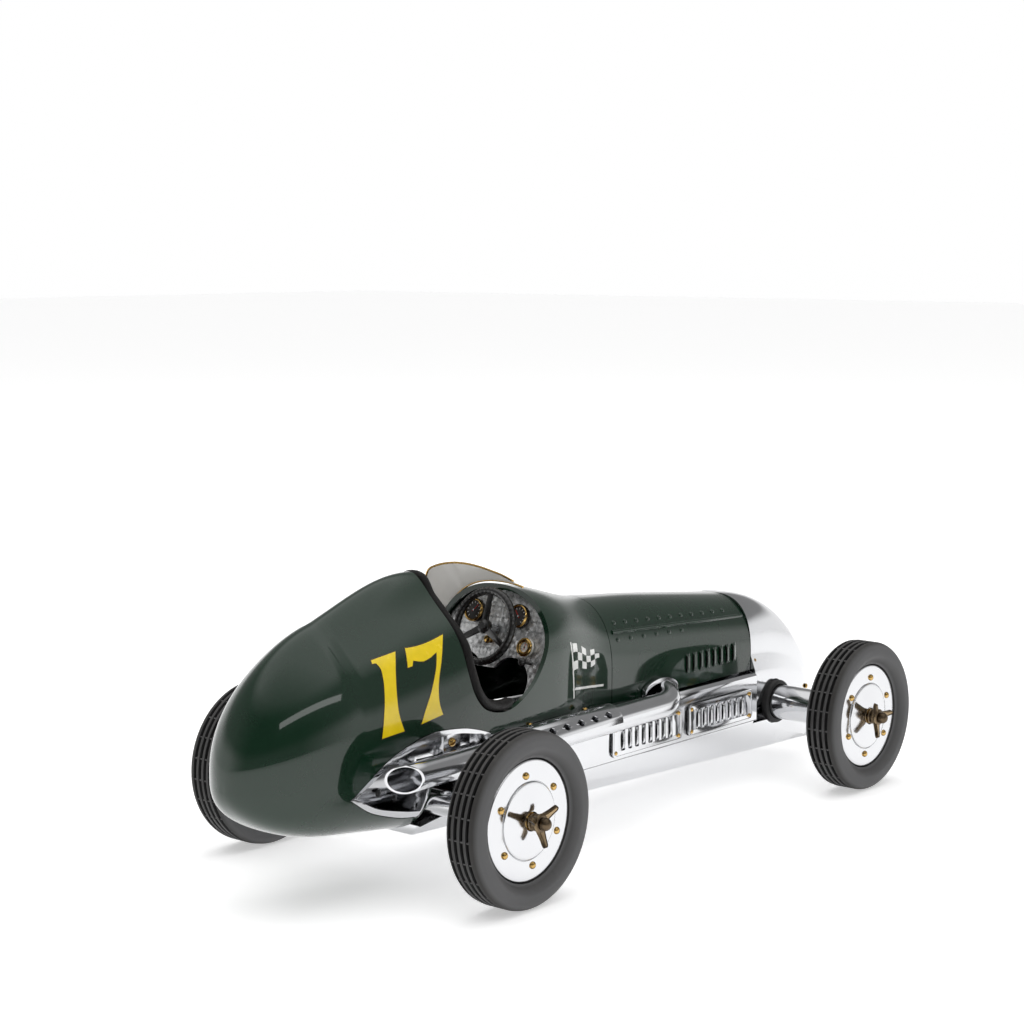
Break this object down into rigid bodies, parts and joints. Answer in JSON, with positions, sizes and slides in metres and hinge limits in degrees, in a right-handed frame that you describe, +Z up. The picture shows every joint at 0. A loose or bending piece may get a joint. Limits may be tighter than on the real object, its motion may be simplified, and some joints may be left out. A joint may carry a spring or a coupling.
{
  "type": "diecast collector car",
  "caption": "Collector's model of a 1930s single-seat racing car: hollow painted body, polished belly, open cockpit, side exhaust and free-rolling disc wheels.",
  "frame": {"origin": "centre of the car's bounding box in plan, at the ground under the tyres", "axes": "+X forwards to the nose, +Y to the driver's left, +Z up"},
  "size_m": [0.294, 0.1284, 0.0897],
  "materials": {
    "green_enamel": "deep green gloss enamel, polished",
    "polished_aluminium": "mirror polished with fine buffing lines",
    "chromed_pipe": "bright polished tube",
    "turned_aluminium": "engine-turned swirls",
    "plated_steel": "satin plated",
    "brass": "polished brass",
    "antique_bronze": "dark antique bronze, rubbed bright on edges",
    "grey_rubber": "matt grey rubber",
    "black_rubber": "soft black rubber",
    "black_enamel": "satin black",
    "black_padding": "black leather piping",
    "brown_leather": "dark brown leather",
    "black_dial": "black printed dial in a brass bezel",
    "white_dial": "white printed dial in a brass bezel",
    "clear_screen": "clear sheet, slightly frosted"
  },
  "bodies": {
    "body": {"tail_shell": "green_enamel", "bonnet": "green_enamel", "nose_shell": "polished_aluminium", "body_tub": "polished_aluminium", "bottom_pan": "polished_aluminium", "side_plate_rear_right": "polished_aluminium", "side_plate_front_right": "polished_aluminium", "side_plate_rear_left": "polished_aluminium", "side_plate_front_left": "polished_aluminium", "front_fairing_right": "polished_aluminium", "rear_fairing_right": "polished_aluminium", "front_fairing_left": "polished_aluminium", "rear_fairing_left": "polished_aluminium", "exhaust_port": "polished_aluminium", "heat_shield": "polished_aluminium", "exhaust_recess": "polished_aluminium", "exhaust_pipe": "chromed_pipe", "dash_panel": "turned_aluminium", "grille": "plated_steel", "rear_axle": "plated_steel", "front_axle": "plated_steel", "steering_column": "plated_steel", "starter_knob": "brass", "windscreen_frame": "brass", "front_grommet_right": "black_rubber", "front_grommet_left": "black_rubber", "rear_axle_bracket": "black_enamel", "cockpit_trim": "black_padding", "seat_squab": "brown_leather", "seat_back": "brown_leather", "dial_left": "black_dial", "dial_right": "black_dial", "dial_small": "white_dial", "windscreen": "clear_screen"},
    "wheel_rear_right": {"tyre_rear_right": "grey_rubber", "outer_disc_rear_right": "polished_aluminium", "inner_disc_rear_right": "polished_aluminium", "hub_bush_rear_right": "brass", "knock_off_nut_rear_right": "antique_bronze"},
    "wheel_rear_left": {"tyre_rear_left": "grey_rubber", "outer_disc_rear_left": "polished_aluminium", "inner_disc_rear_left": "polished_aluminium", "hub_bush_rear_left": "brass", "knock_off_nut_rear_left": "antique_bronze"},
    "wheel_front_right": {"tyre_front_right": "grey_rubber", "outer_disc_front_right": "polished_aluminium", "inner_disc_front_right": "polished_aluminium", "hub_bush_front_right": "brass", "knock_off_nut_front_right": "antique_bronze"},
    "wheel_front_left": {"tyre_front_left": "grey_rubber", "outer_disc_front_left": "polished_aluminium", "inner_disc_front_left": "polished_aluminium", "hub_bush_front_left": "brass", "knock_off_nut_front_left": "antique_bronze"},
    "steering": {"steering_wheel": "black_enamel"}
  },
  "joints": [
    {"name": "wheel_rear_right_spin", "type": "hinge", "parent": "body", "child": "wheel_rear_right", "pos_m": [-0.083, -0.05285, 0.0255], "axis": [0, 1, 0], "continuous": true},
    {"name": "wheel_rear_left_spin", "type": "hinge", "parent": "body", "child": "wheel_rear_left", "pos_m": [-0.083, 0.05285, 0.0255], "axis": [0, 1, 0], "continuous": true},
    {"name": "wheel_front_right_spin", "type": "hinge", "parent": "body", "child": "wheel_front_right", "pos_m": [0.0977, -0.05285, 0.0255], "axis": [0, 1, 0], "continuous": true},
    {"name": "wheel_front_left_spin", "type": "hinge", "parent": "body", "child": "wheel_front_left", "pos_m": [0.0977, 0.05285, 0.0255], "axis": [0, 1, 0], "continuous": true},
    {"name": "steering_turn", "type": "hinge", "parent": "body", "child": "steering", "pos_m": [-0.03779, 0, 0.0684], "axis": [0.9511, 0, -0.309], "range_deg": [-120, 120]}
  ]
}
